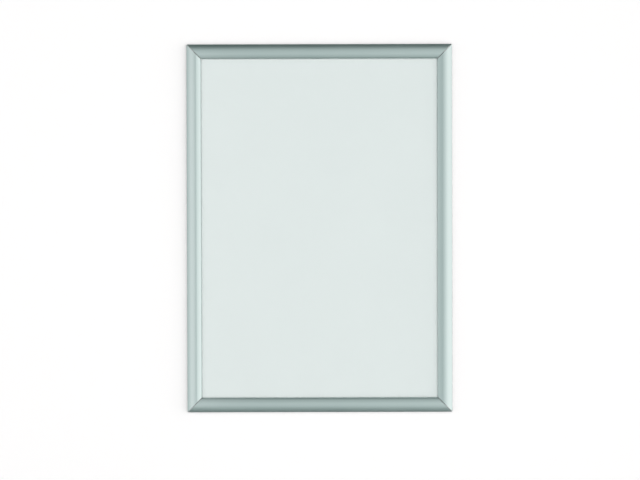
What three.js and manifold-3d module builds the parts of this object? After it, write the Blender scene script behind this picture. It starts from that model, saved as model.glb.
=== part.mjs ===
// A wall frame for one poster. Its four front covers are hinged aluminium extrusions that snap open
// and shut over leaf springs, and its four base rails are screwed to the wall.
//
// Lengths are in millimetres. +Z is up, the front faces -Y and the wall is the plane y = 0.
// The origin is the middle of the frame's back.
//
// Both extrusions are drawn in section: u runs inwards from the rail's outer edge, and v runs
// forwards from the wall.
import * as THREE from 'three';
import { mergeVertices } from 'three/addons/utils/BufferGeometryUtils.js';
import Module from 'manifold-3d';

const wasm = await Module();
wasm.setup();

// The poster that the frame is made for, and its play inside the base rails on each side
const posterWidth = 420;
const posterHeight = 594;
const posterPlay = 0.6;

// Clearances between pieces that touch or turn on the real frame
const hingeClearance = 0.3;
const seatClearance = 0.3;
const keyClearance = 0.3;
const mitreGap = 0.15;

// How far a round stretch may stray from its true curve
const curveTolerance = 0.01;

// The hinge: a bead along the base rail, and the cover's hook round it
const hingeInset = 2.2;
const hingeHeight = 7;
const beadRadius = 1.2;
const neckWidth = 1.1;
const hookWall = 1;
const openAngle = THREE.MathUtils.degToRad(95);

// The front cover: its face rises to a crest, and past a crease it slopes more steeply to the lip
const coverWidth = 25;
const coverDepth = 12;
const coverSkin = 1.2;
const crestShare = 0.6;
const creaseShare = 0.65;
const innerFaceRadius = 40;
const lipRadius = 2.2;
const lipHeightShare = 1 / 6;
const legRoot = 0.3;

// The base rail: its floor against the wall, outer wall, poster ledge and key channel
const floorWall = 1.2;
const outerWall = 1.2;
const shoulderHeight = 2.4;
const neckFootHeight = 4.3;
const ledgeHeight = 4.2;
const ledgeWall = 1;
const baseInset = 1;
const keySlotLip = 1.5;

// The leaf springs, and the cups in both extrusions that hold their rolled ends
const springSeatShare = 0.512;
const springWidth = 22;
const springThickness = 0.5;
const springEndRadius = 0.6;
const springSag = 1.2;
const springEndInset = 95;
const cupWall = 0.7;
const shortRailSpringCount = 2;
const longRailSpringCount = 3;

// The corner keys that slide into the channels of two base rails
const keyArmLength = 45;
const keyTaperShare = 1 / 4;

// The layers that lie on the ledge
const boardThickness = 1.5;
const sheetThickness = 0.5;
const layerTrim = 0.5;

// The wall screws' holes, in the floors of the two long base rails
const screwHoleRadius = 2.4;
const screwHoleEndInset = 60;
const screwHoleSides = 24;
const cutOverrun = 1;

// Sizes that follow from the ones above
const hookBore = beadRadius + hingeClearance;
const hookRadius = hookBore + hookWall;
const cupBore = springEndRadius + seatClearance;
const cupRadius = cupBore + cupWall;
const leverRadius = hookRadius + cupRadius - legRoot;
const crestInset = crestShare * coverWidth;
const creaseInset = creaseShare * coverWidth;
const springSeatInset = springSeatShare * coverWidth;
const stopInset = springSeatInset + cupRadius;
const baseWidth = coverWidth - baseInset;
const frameWidth = posterWidth + 2 * (stopInset + posterPlay);
const frameHeight = posterHeight + 2 * (stopInset + posterPlay);
const screwHoleInset = (hingeInset + springSeatInset) / 2;
const boardBack = ledgeHeight + seatClearance;
const sheetBack = boardBack + boardThickness + seatClearance;
const coverFootHeight = sheetBack + sheetThickness + seatClearance;

const at = (u, v) => new THREE.Vector2(u, v);
const hinge = at(hingeInset, hingeHeight);

// The point at a distance and an angle from another point.
function polar(centre, radius, angle) {
  return at(centre.x + radius * Math.cos(angle), centre.y + radius * Math.sin(angle));
}

// Where two circles meet: side 1 is the point left of the line from the first centre to the second.
function circlesMeet(centreA, radiusA, centreB, radiusB, side) {
  const apart = centreA.distanceTo(centreB);
  const along = (apart ** 2 + radiusA ** 2 - radiusB ** 2) / (2 * apart);
  const heading = centreB.clone().sub(centreA).angle();
  return polar(centreA, radiusA, heading + side * Math.acos(along / radiusA));
}

// Where a ray from a point first meets a circle.
function rayMeetsCircle(start, angle, centre, radius) {
  const toCentre = centre.clone().sub(start);
  const turn = toCentre.angle() - angle;
  const past = toCentre.length() * Math.sin(turn);
  const along = toCentre.length() * Math.cos(turn) - Math.sqrt(radius ** 2 - past ** 2);
  return polar(start, along, angle);
}

// Where a circle meets an upright line, on the side towards the wall.
function circleMeetsUpright(centre, radius, u) {
  return at(u, centre.y - Math.sqrt(radius ** 2 - (u - centre.x) ** 2));
}

// The points of a round stretch from one point to another: turn 1 runs anticlockwise.
function arc(centre, from, to, turn) {
  const radius = from.distanceTo(centre);
  const start = from.clone().sub(centre).angle();
  const end = to.clone().sub(centre).angle();
  const sweep = THREE.MathUtils.euclideanModulo(turn * (end - start), 2 * Math.PI);
  const facet = 2 * Math.acos(1 - curveTolerance / radius);
  const steps = Math.ceil(sweep / facet);
  const points = [];
  for (let step = 0; step <= steps; step += 1) {
    points.push(polar(centre, radius, start + (turn * sweep * step) / steps));
  }
  return points;
}

// The hook's two ends, as angles about the hinge: the tip stops short of the neck when the cover is
// open, and the heel when it is shut.
const neckHalfAngle = Math.asin((neckWidth / 2 + hingeClearance) / hookBore);
const hookTip = (3 * Math.PI) / 2 - openAngle - neckHalfAngle;
const hookHeel = neckHalfAngle - Math.PI / 2;

// The cover's spring seat swings from below the line between the hinge and the base's seat to as far
// above it, so the springs hold the cover both shut and open.
const coverSeat = polar(hinge, leverRadius, -openAngle / 2);
const baseSeat = at(springSeatInset, hingeHeight);

// The front cover's section, from the hook's tip over the face and back along the underside.
function coverOutline() {
  const rise = coverDepth - hingeHeight;
  const run = crestInset - hingeInset;
  const faceRadius = (run ** 2 + rise ** 2 - hookRadius ** 2) / (2 * (rise - hookRadius));
  const faceCentre = at(crestInset, coverDepth - faceRadius);
  const hookAngle = hinge.clone().sub(faceCentre).angle();
  const creaseDrop = faceRadius - Math.sqrt(faceRadius ** 2 - (creaseInset - crestInset) ** 2);
  const crease = at(creaseInset, coverDepth - creaseDrop);
  const lipHeight = coverFootHeight + lipHeightShare * (coverDepth - coverFootHeight);
  const lipCentre = at(coverWidth - lipRadius, lipHeight);
  const innerCentre = circlesMeet(crease, innerFaceRadius, lipCentre, innerFaceRadius - lipRadius, -1);
  const lipAngle = lipCentre.clone().sub(innerCentre).angle();
  const footInner = coverWidth - coverSkin;
  const lipBore = lipRadius - coverSkin;
  const underRadius = faceRadius - coverSkin;
  const innerUnderRadius = innerFaceRadius - coverSkin;
  const underSide = Math.sign(innerCentre.x - faceCentre.x);
  const underCrease = circlesMeet(faceCentre, underRadius, innerCentre, innerUnderRadius, underSide);
  const hookRoot = circlesMeet(hinge, hookRadius, faceCentre, underRadius, 1);
  const cupTop = circlesMeet(hinge, hookRadius, coverSeat, cupRadius, 1);
  const cupTopAngle = cupTop.clone().sub(coverSeat).angle();
  const mouthAngle = baseSeat.clone().sub(coverSeat).angle();
  const cupFootAngle = mouthAngle - Math.PI / 2;
  const heelOuter = rayMeetsCircle(hinge, hookHeel, coverSeat, cupRadius);
  return [
    ...arc(hinge, polar(hinge, hookRadius, hookTip), polar(hinge, hookRadius, hookAngle), -1),
    ...arc(faceCentre, polar(faceCentre, faceRadius, hookAngle), crease, -1),
    ...arc(innerCentre, crease, polar(lipCentre, lipRadius, lipAngle), -1),
    ...arc(lipCentre, polar(lipCentre, lipRadius, lipAngle), polar(lipCentre, lipRadius, 0), -1),
    at(coverWidth, coverFootHeight),
    at(footInner, coverFootHeight),
    ...arc(lipCentre, polar(lipCentre, lipBore, 0), polar(lipCentre, lipBore, lipAngle), 1),
    ...arc(innerCentre, polar(lipCentre, lipBore, lipAngle), underCrease, 1),
    ...arc(faceCentre, underCrease, hookRoot, 1),
    ...arc(hinge, hookRoot, cupTop, -1),
    ...arc(coverSeat, polar(coverSeat, cupBore, cupTopAngle), polar(coverSeat, cupBore, cupFootAngle), 1),
    ...arc(coverSeat, polar(coverSeat, cupRadius, cupFootAngle), heelOuter, -1),
    ...arc(hinge, polar(hinge, hookBore, hookHeel), polar(hinge, hookBore, hookTip), 1),
  ];
}

// The base rail's section: along the wall, round the key channel, over the ledge and the spring seat,
// back along the floor, and up to the hinge bead.
function baseOutline() {
  const stopWall = stopInset - cupWall - cupBore / 2;
  const neckOuter = hingeInset - neckWidth / 2;
  const neckInner = hingeInset + neckWidth / 2;
  const beadDrop = Math.sqrt(beadRadius ** 2 - (neckWidth / 2) ** 2);
  const slopeShare = (neckFootHeight - shoulderHeight) / neckOuter;
  const innerShoulder = neckFootHeight - (neckInner - outerWall) * slopeShare;
  const channelEnd = baseWidth - outerWall;
  const slotStart = stopInset + keySlotLip;
  const slotEnd = channelEnd - keySlotLip;
  const down = -Math.PI / 2;
  const up = Math.PI / 2;
  return [
    at(0, 0),
    at(slotStart, 0),
    at(slotStart, floorWall),
    at(stopInset, floorWall),
    at(stopInset, ledgeHeight - ledgeWall),
    at(channelEnd, ledgeHeight - ledgeWall),
    at(channelEnd, floorWall),
    at(slotEnd, floorWall),
    at(slotEnd, 0),
    at(baseWidth, 0),
    at(baseWidth, ledgeHeight),
    at(stopInset, ledgeHeight),
    ...arc(baseSeat, polar(baseSeat, cupRadius, 0), polar(baseSeat, cupRadius, up), 1),
    ...arc(baseSeat, polar(baseSeat, cupBore, up), polar(baseSeat, cupBore, down), -1),
    ...arc(baseSeat, polar(baseSeat, cupRadius, down), circleMeetsUpright(baseSeat, cupRadius, stopWall), 1),
    at(stopWall, floorWall),
    at(outerWall, floorWall),
    at(outerWall, innerShoulder),
    at(neckInner, neckFootHeight),
    ...arc(hinge, at(neckInner, hingeHeight - beadDrop), at(neckOuter, hingeHeight - beadDrop), 1),
    at(neckOuter, neckFootHeight),
    at(0, shoulderHeight),
  ];
}

// A leaf spring's section at rest: a strip bowed towards the wall, with a rolled bead at each end.
function springOutline() {
  const chord = coverSeat.distanceTo(baseSeat);
  const bowRadius = (chord ** 2 / 4 + springSag ** 2) / (2 * springSag);
  const heading = baseSeat.clone().sub(coverSeat).angle();
  const middle = coverSeat.clone().lerp(baseSeat, 1 / 2);
  const bowCentre = polar(middle, bowRadius - springSag, heading + Math.PI / 2);
  const outerRadius = bowRadius + springThickness / 2;
  const innerRadius = bowRadius - springThickness / 2;
  const meet = (seat, radius, side) => circlesMeet(bowCentre, radius, seat, springEndRadius, side);
  return [
    ...arc(bowCentre, meet(coverSeat, outerRadius, 1), meet(baseSeat, outerRadius, -1), 1),
    ...arc(baseSeat, meet(baseSeat, outerRadius, -1), meet(baseSeat, innerRadius, -1), 1),
    ...arc(bowCentre, meet(baseSeat, innerRadius, -1), meet(coverSeat, innerRadius, 1), -1),
    ...arc(coverSeat, meet(coverSeat, innerRadius, 1), meet(coverSeat, outerRadius, 1), 1),
  ];
}

// Removes the points that an outline gives twice where two stretches join.
function withoutRepeats(points) {
  const near = curveTolerance / 10;
  return points.filter((point, index) => {
    const before = points[(index + points.length - 1) % points.length];
    return point.distanceTo(before) > near;
  });
}

// Sweeps a section along X. The section's u becomes Z and its v becomes -Y. halfLength gives how far
// each point of the section reaches to either side of the middle.
function sweep(outline, halfLength) {
  const shape = new THREE.Shape(withoutRepeats(outline));
  const geometry = new THREE.ExtrudeGeometry(shape, { depth: 1, bevelEnabled: false });
  const position = geometry.getAttribute('position');
  for (let index = 0; index < position.count; index += 1) {
    const u = position.getX(index);
    const v = position.getY(index);
    const side = Math.sign(2 * position.getZ(index) - 1);
    position.setXYZ(index, side * halfLength(u, v), -v, u);
  }
  geometry.computeVertexNormals();
  return geometry;
}

// The greatest u that a point of a cover comes to while the cover opens.
function coverReach(u, v) {
  const arm = at(u, v).sub(hinge);
  const shut = Math.atan2(arm.y, arm.x);
  const open = polar(hinge, arm.length(), shut + openAngle).x;
  const passesLevel = shut < 0 && shut + openAngle > 0;
  return passesLevel ? hingeInset + arm.length() : Math.max(u, open);
}

// A solid that can be cut, from a closed geometry.
function solidOf(geometry) {
  const bare = geometry.clone();
  bare.deleteAttribute('normal');
  bare.deleteAttribute('uv');
  const merged = mergeVertices(bare, curveTolerance / 10);
  return new wasm.Manifold(new wasm.Mesh({
    numProp: 3,
    vertProperties: new Float32Array(merged.getAttribute('position').array),
    triVerts: new Uint32Array(merged.getIndex().array),
  }));
}

function geometryOf(solid) {
  const mesh = solid.getMesh();
  const geometry = new THREE.BufferGeometry();
  geometry.setAttribute('position', new THREE.BufferAttribute(mesh.vertProperties, 3));
  geometry.setIndex(new THREE.BufferAttribute(mesh.triVerts, 1));
  geometry.computeVertexNormals();
  return geometry;
}

// The front cover, mitred at both ends. What swings further in as the cover opens is cut back there
// by as much, so a cover opens past a shut neighbour.
function coverRail(length) {
  return sweep(coverOutline(), (u, v) => length / 2 - coverReach(u, v) - mitreGap);
}

// The base rail, mitred at both ends, with a hole for a wall screw near each end where it has them.
function baseRail(length, hasScrewHoles) {
  const rail = sweep(baseOutline(), (u) => length / 2 - u - mitreGap);
  if (!hasScrewHoles) {
    return rail;
  }
  let solid = solidOf(rail);
  const drillLength = floorWall + 2 * cutOverrun;
  for (const side of [-1, 1]) {
    const drill = new THREE.CylinderGeometry(screwHoleRadius, screwHoleRadius, drillLength, screwHoleSides);
    drill.translate(side * (length / 2 - screwHoleEndInset), -floorWall / 2, screwHoleInset);
    solid = solid.subtract(solidOf(drill));
  }
  return geometryOf(solid);
}

function snapSpring() {
  return sweep(springOutline(), () => springWidth / 2);
}

// An L-shaped key with tapered arms, its outer corner at the origin and its arms along X and Z.
function cornerKey() {
  const width = baseWidth - outerWall - stopInset - 2 * keyClearance;
  const thickness = ledgeHeight - ledgeWall - floorWall - 2 * keyClearance;
  const taper = keyTaperShare * width;
  const shape = new THREE.Shape([
    at(0, 0),
    at(keyArmLength - taper, 0),
    at(keyArmLength, taper),
    at(keyArmLength, width - taper),
    at(keyArmLength - taper, width),
    at(width, width),
    at(width, keyArmLength - taper),
    at(width - taper, keyArmLength),
    at(taper, keyArmLength),
    at(0, keyArmLength - taper),
  ]);
  const geometry = new THREE.ExtrudeGeometry(shape, { depth: thickness, bevelEnabled: false });
  geometry.rotateX(Math.PI / 2);
  return geometry;
}

// A flat layer of the poster's size, less its trim, with its back at the given height off the wall.
function layer(thickness, back) {
  const width = posterWidth - 2 * layerTrim;
  const height = posterHeight - 2 * layerTrim;
  const geometry = new THREE.BoxGeometry(width, thickness, height);
  geometry.translate(0, -(back + thickness / 2), 0);
  return geometry;
}

const satinAluminium = { color: 0xc3cbc8, roughness: 0.36, metalness: 1 };
const millAluminium = { color: 0xb4bab8, roughness: 0.45, metalness: 1 };
const springSteel = { color: 0x8d9192, roughness: 0.3, metalness: 1 };
const zincPlate = { color: 0x9ea3a5, roughness: 0.4, metalness: 1 };
const whiteBoard = { color: 0xe4eae8, roughness: 0.6, metalness: 0 };
const clearSheet = { color: 0xf2f6f5, roughness: 0.25, metalness: 0, transparent: true, opacity: 0.25 };

function piece(name, geometry, finish) {
  const mesh = new THREE.Mesh(geometry, new THREE.MeshStandardMaterial(finish));
  mesh.name = name;
  return mesh;
}

// The places of the springs along a rail, evenly spread between the two end ones.
function springPlaces(length, count) {
  const reach = length / 2 - springEndInset;
  const spaces = Math.max(1, count - 1);
  const places = [];
  for (let index = 0; index < count; index += 1) {
    places.push((reach * (2 * index - (count - 1))) / spaces);
  }
  return places;
}

// One side of the frame, drawn as the bottom rail lies: along X, with its outer edge at z = 0.
function frameSide({ name, length, springs, hasScrewHoles }) {
  const side = new THREE.Group();
  side.add(piece(`base_rail_${name}`, baseRail(length, hasScrewHoles), millAluminium));
  side.add(piece(`cover_rail_${name}`, coverRail(length), satinAluminium));
  springPlaces(length, springs).forEach((place, index) => {
    const spring = piece(`snap_spring_${name}_${index + 1}`, snapSpring(), springSteel);
    spring.position.x = place;
    side.add(spring);
  });
  return side;
}

const halfWidth = frameWidth / 2;
const halfHeight = frameHeight / 2;
const shortSide = { length: frameWidth, springs: shortRailSpringCount, hasScrewHoles: false };
const longSide = { length: frameHeight, springs: longRailSpringCount, hasScrewHoles: true };
const quarter = Math.PI / 2;
const sides = [
  { name: 'bottom', ...shortSide, x: 0, z: -halfHeight, turn: 0 },
  { name: 'top', ...shortSide, x: 0, z: halfHeight, turn: 2 * quarter },
  { name: 'left', ...longSide, x: -halfWidth, z: 0, turn: quarter },
  { name: 'right', ...longSide, x: halfWidth, z: 0, turn: -quarter },
];

const keyInset = stopInset + keyClearance;
const corners = [
  { name: 'bottom_left', x: -1, z: -1, turn: 0 },
  { name: 'bottom_right', x: 1, z: -1, turn: -quarter },
  { name: 'top_right', x: 1, z: 1, turn: 2 * quarter },
  { name: 'top_left', x: -1, z: 1, turn: quarter },
];

const posterFrame = new THREE.Group();
for (const side of sides) {
  const group = frameSide(side);
  group.position.set(side.x, 0, side.z);
  group.rotation.y = side.turn;
  posterFrame.add(group);
}
for (const corner of corners) {
  const key = piece(`corner_key_${corner.name}`, cornerKey(), zincPlate);
  key.position.x = corner.x * (halfWidth - keyInset);
  key.position.y = -(floorWall + keyClearance);
  key.position.z = corner.z * (halfHeight - keyInset);
  key.rotation.y = corner.turn;
  posterFrame.add(key);
}
posterFrame.add(piece('backing_board', layer(boardThickness, boardBack), whiteBoard));
posterFrame.add(piece('clear_sheet', layer(sheetThickness, sheetBack), clearSheet));

export default posterFrame;
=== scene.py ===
# %% [markdown]
# # A wall frame with four snap covers
# The object is an aluminium frame for one large poster. Each side has two extrusions: a base rail
# that is screwed to the wall, and a front cover that hinges on it and snaps shut over leaf springs.
# A white board and a clear front sheet lie inside, and L-shaped keys join the base rails.
#
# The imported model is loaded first, because it fixes the place of every piece. Its solids could be
# shown as they are, but they have coarse arcs and knife-sharp corners. So each piece is modelled
# again in its place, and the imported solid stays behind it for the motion.

import math

import bpy
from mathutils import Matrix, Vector


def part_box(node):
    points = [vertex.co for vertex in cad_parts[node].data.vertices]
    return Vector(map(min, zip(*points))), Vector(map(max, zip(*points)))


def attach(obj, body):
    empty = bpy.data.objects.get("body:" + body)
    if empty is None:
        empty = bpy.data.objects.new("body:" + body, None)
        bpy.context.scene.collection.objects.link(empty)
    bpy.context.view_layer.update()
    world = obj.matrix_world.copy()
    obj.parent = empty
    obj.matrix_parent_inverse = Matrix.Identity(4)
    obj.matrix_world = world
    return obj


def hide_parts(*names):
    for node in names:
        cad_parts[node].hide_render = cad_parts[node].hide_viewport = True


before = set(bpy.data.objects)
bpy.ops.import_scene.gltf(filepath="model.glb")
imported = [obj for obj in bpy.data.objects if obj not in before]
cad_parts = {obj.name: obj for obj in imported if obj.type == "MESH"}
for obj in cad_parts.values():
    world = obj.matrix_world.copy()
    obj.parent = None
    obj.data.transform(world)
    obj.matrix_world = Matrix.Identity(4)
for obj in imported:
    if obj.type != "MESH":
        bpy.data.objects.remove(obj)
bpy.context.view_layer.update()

# %% [markdown]
# ## The camera
# The photograph looks straight at the frame from a few metres away, so no side wall shows. A long
# lens gives that view. It could be found by trial, but the picture's width at the wall is known, so
# the lens follows from it. The frame hangs a hair off level in the picture and narrows a hair
# towards its foot. A small roll and pitch of the camera give both without moving the frame.

# %% Camera
CAMERA_DISTANCE = 2.5
WIDTH_IN_VIEW = 1.088
SENSOR_WIDTH = 36.0
CAMERA_RIGHT = 0.0007
CAMERA_HEIGHT = 0.0050
CAMERA_PITCH = math.radians(-0.57)
CAMERA_ROLL = math.radians(0.14)
RIGHT_ANGLE = math.pi / 2

bpy.ops.object.select_all(action="DESELECT")
bpy.ops.object.camera_add(
    location=(CAMERA_RIGHT, -CAMERA_DISTANCE, CAMERA_HEIGHT),
    rotation=(RIGHT_ANGLE + CAMERA_PITCH, CAMERA_ROLL, 0),
)
camera = bpy.context.object
camera.name = "straight_on_camera"
camera.data.sensor_width = SENSOR_WIDTH
camera.data.lens = SENSOR_WIDTH * CAMERA_DISTANCE / WIDTH_IN_VIEW
bpy.context.scene.camera = camera
print("lens:", round(camera.data.lens, 1), "mm")

# %% [markdown]
# ## How a section is drawn
# Extruded aluminium is pressed through a die, so one section describes a whole rail. In a section,
# x runs inwards from the rail's outer edge and y runs forwards from the wall. It is drawn where the
# bottom rail has it, so its x points up in the scene and its y points at the viewer.
#
# A curve object could hold the outline, but its corners are hard to round evenly. Here a small
# plane is merged to one point, and that point is extruded along the straight stretches and spun
# along the round ones. The point that is drawn last stays selected, so each stretch goes on from it.

# %% Units and directions in a section
MM = 0.001
ARC_TOLERANCE = 0.004 * MM
NEAR = 0.0005 * MM
CLOCKWISE = -1
ANTICLOCKWISE = 1
UP = RIGHT_ANGLE
DOWN = -RIGHT_ANGLE


def polar(centre, radius, angle):
    """The point at a distance and an angle from a centre."""
    return centre + radius * Vector((math.cos(angle), math.sin(angle)))


def heading(start, end):
    """The angle at which one point is seen from another."""
    return math.atan2(end.y - start.y, end.x - start.x)


# %% A pen that draws a section
class Pen:
    """Draws one closed outline in section, stretch by stretch."""

    def __init__(self, name, start):
        bpy.ops.object.select_all(action="DESELECT")
        bpy.ops.mesh.primitive_plane_add(size=MM, location=(0, 0, 0))
        self.outline = bpy.context.object
        self.outline.name = name
        bpy.ops.object.mode_set(mode="EDIT")
        bpy.ops.mesh.select_mode(type="VERT")
        bpy.ops.mesh.select_all(action="SELECT")
        bpy.ops.mesh.merge(type="CENTER")
        bpy.ops.transform.translate(value=(0, -start.y, start.x))
        self.at = start

    def line(self, *points):
        """Draws straight stretches through the points."""
        for point in points:
            step = Vector(point) - self.at
            bpy.ops.mesh.extrude_region_move(TRANSFORM_OT_translate={"value": (0, -step.y, step.x)})
            self.at = Vector(point)

    def arc(self, centre, end_angle, turn):
        """Draws a round stretch about a centre, as far as an angle."""
        radius = (self.at - centre).length
        sweep = (turn * (end_angle - heading(centre, self.at))) % math.tau
        facet = 2 * math.acos(1 - ARC_TOLERANCE / radius)
        bpy.ops.mesh.spin(
            steps=math.ceil(sweep / facet),
            angle=-turn * sweep,
            center=(0, -centre.y, centre.x),
            axis=(1, 0, 0),
        )
        self.at = polar(centre, radius, end_angle)

    def close(self):
        """Joins the last point to the first and fills the outline."""
        bpy.ops.mesh.select_all(action="SELECT")
        bpy.ops.mesh.remove_doubles(threshold=NEAR)
        bpy.ops.mesh.edge_face_add()
        bpy.ops.object.mode_set(mode="OBJECT")
        return self.outline


# %% [markdown]
# ## Tools that choose what an operator works on
# In edit mode an operator acts on all that is selected. By hand the right edges are clicked. In a
# script they are chosen by their place, so one helper clears the selection and takes what passes a
# test. Edit mode opens every selected piece, so only the one that is meant may be selected when it
# opens. Most chosen edges get a bevel, so one more helper finds edges by their two ends and bevels
# them.

# %% Selecting by place
def select(piece, kind, test):
    """Selects only the piece's vertices, edges or polygons that pass the test."""
    mesh = piece.data
    for element in (*mesh.vertices, *mesh.edges, *mesh.polygons):
        element.select = False
    chosen = [element for element in getattr(mesh, kind) if test(element)]
    for element in chosen:
        element.select = True
    return len(chosen)


def only(piece):
    """Makes a piece the one selected object."""
    bpy.ops.object.select_all(action="DESELECT")
    piece.select_set(True)
    bpy.context.view_layer.objects.active = piece


def edit(piece, mode):
    """Opens a piece alone in edit mode, with vertices, edges or faces to be chosen."""
    only(piece)
    bpy.ops.object.mode_set(mode="EDIT")
    bpy.ops.mesh.select_mode(type=mode)


def done():
    """Leaves edit mode."""
    bpy.ops.object.mode_set(mode="OBJECT")


# %% Bevelling by place
def both(test):
    """A test of an edge that asks the same of its two ends."""
    return lambda first, second: test(first) and test(second)


def bevel_edges(piece, test, width, segments=1):
    """Bevels the edges whose two ends pass the test, and counts them."""
    ends = [vertex.co.copy() for vertex in piece.data.vertices]
    found = select(piece, "edges", lambda edge: test(*(ends[i] for i in edge.vertices)))
    edit(piece, "EDGE")
    bpy.ops.mesh.bevel(offset=width, segments=segments, affect="EDGES")
    done()
    return found


# %% [markdown]
# ## Rounding a section's corners
# No die presses a knife-sharp corner, so every sharp turn in a section gets a small radius. It could
# be drawn into each outline, at the price of two more stretches a corner. It is quicker to find the
# points where the outline turns sharply and bevel them, before the rail gets its length.

# %% Round the sharp corners of an outline
CORNER_RADIUS = 0.1 * MM
CORNER_FACETS = 2
SHARP_TURN = math.radians(35)


def round_corners(outline):
    """Gives each corner where the outline turns sharply a small radius."""
    points = outline.data.vertices
    beside = {point.index: [] for point in points}
    for edge in outline.data.edges:
        first, second = edge.vertices
        beside[first].append(points[second].co)
        beside[second].append(points[first].co)

    def is_sharp(point):
        before, after = beside[point.index]
        return (point.co - before).angle(after - point.co) > SHARP_TURN

    found = select(outline, "vertices", is_sharp)
    edit(outline, "VERT")
    bpy.ops.mesh.bevel(offset=CORNER_RADIUS, segments=CORNER_FACETS, affect="VERTICES")
    done()
    print(outline.name, "has", len(outline.data.vertices), "points and", found, "rounded corners")


# %% [markdown]
# ## The hinge line
# On the real frame the hinge is part of both extrusions: a round bead stands on a neck along the
# base rail, and the cover has a hook that turns round it. A cup on each extrusion holds one rolled
# end of the leaf springs. The cover's cup swings from just below the line between the hinge and the
# other cup to just above it, and that is what snaps. Both sections are drawn from these centres.

# %% Sizes of the hinge and the spring cups
HINGE = Vector((2.2, 7)) * MM
BEAD_RADIUS = 1.2 * MM
NECK_WIDTH = 1.1 * MM
HINGE_CLEARANCE = 0.3 * MM
HOOK_WALL = 1 * MM
OPEN_ANGLE = math.radians(95)
CUP_BORE = 0.9 * MM
CUP_WALL = 0.7 * MM
CUP_ROOT = 0.3 * MM

hook_bore = BEAD_RADIUS + HINGE_CLEARANCE
hook_radius = hook_bore + HOOK_WALL
cup_radius = CUP_BORE + CUP_WALL
lever_radius = hook_radius + cup_radius - CUP_ROOT
cover_seat = polar(HINGE, lever_radius, -OPEN_ANGLE / 2)
BASE_SEAT = Vector((12.8, 7)) * MM
print("cover cup in mm:", [round(c / MM, 2) for c in cover_seat])

# %% [markdown]
# ## The front cover's section
# The cover's face falls away from its crest to the hinge in one shallow arc. Just past the crest a
# crease runs along it, and from there it slopes more steeply and rounds over a lip that presses on
# the clear sheet. That slope catches the light apart from the rest of the face. The wall is a thin
# shell, so it could be an open line with Solidify on it, but the hook and the cup need walls of
# their own. So the whole section is drawn once round, from the hook's tip over the face and back.

# %% Sizes of the cover
COVER_WIDTH = 25 * MM
COVER_DEPTH = 12 * MM
COVER_SKIN = 1.2 * MM
CREST_INSET = 15 * MM
CREASE_INSET = 16.25 * MM
SLOPE_RADIUS = 40 * MM
LIP_RADIUS = 2.2 * MM
COVER_FOOT = 7.1 * MM
LIP_RISE = (COVER_DEPTH - COVER_FOOT) / 6

crest_rise = COVER_DEPTH - HINGE.y
crest_run = CREST_INSET - HINGE.x
face_radius = (crest_run**2 + crest_rise**2 - hook_radius**2) / (2 * (crest_rise - hook_radius))
face_centre = Vector((CREST_INSET, COVER_DEPTH - face_radius))
crease_angle = math.acos((CREASE_INSET - CREST_INSET) / face_radius)
crease = polar(face_centre, face_radius, crease_angle)
lip_centre = Vector((COVER_WIDTH - LIP_RADIUS, COVER_FOOT + LIP_RISE))
print("radius of the cover's face in mm:", round(face_radius / MM, 2))


# %% Where the cover's stretches meet
LEFT = 1
RIGHT = -1


def meeting_angle(centre, radius, other_centre, other_radius, side):
    """The angle about the first centre at which two circles meet, on one side of their line."""
    apart = (other_centre - centre).length
    along = (apart**2 + radius**2 - other_radius**2) / (2 * apart)
    return heading(centre, other_centre) + side * math.acos(along / radius)


def circles_meet(centre, radius, other_centre, other_radius, side):
    """The point at which two circles meet, on one side of their line."""
    return polar(centre, radius, meeting_angle(centre, radius, other_centre, other_radius, side))


def ray_meets_circle(start, angle, centre, radius):
    """Where a ray from a point first meets a circle."""
    to_centre = centre - start
    turn = heading(start, centre) - angle
    past = to_centre.length * math.sin(turn)
    along = to_centre.length * math.cos(turn) - math.sqrt(radius**2 - past**2)
    return polar(start, along, angle)


neck_half_angle = math.asin((NECK_WIDTH / 2 + HINGE_CLEARANCE) / hook_bore)
hook_tip = math.pi + UP - OPEN_ANGLE - neck_half_angle
hook_heel = DOWN + neck_half_angle
inner_radius = SLOPE_RADIUS - LIP_RADIUS
slope_centre = circles_meet(crease, SLOPE_RADIUS, lip_centre, inner_radius, RIGHT)
lip_angle = heading(slope_centre, lip_centre)
under_radius = face_radius - COVER_SKIN
under_slope = SLOPE_RADIUS - COVER_SKIN
lip_inside = COVER_WIDTH - COVER_SKIN
crease_root = meeting_angle(slope_centre, under_slope, face_centre, under_radius, LEFT)
hook_root = circles_meet(HINGE, hook_radius, face_centre, under_radius, LEFT)
cup_top = circles_meet(HINGE, hook_radius, cover_seat, cup_radius, LEFT)
cup_top_angle = heading(cover_seat, cup_top)
cup_foot_angle = heading(cover_seat, BASE_SEAT) + DOWN
heel_outer = ray_meets_circle(HINGE, hook_heel, cover_seat, cup_radius)
crease_turn = heading(face_centre, crease) - heading(slope_centre, crease)
print("the face turns by", round(math.degrees(crease_turn), 1), "degrees at its crease")

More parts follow.
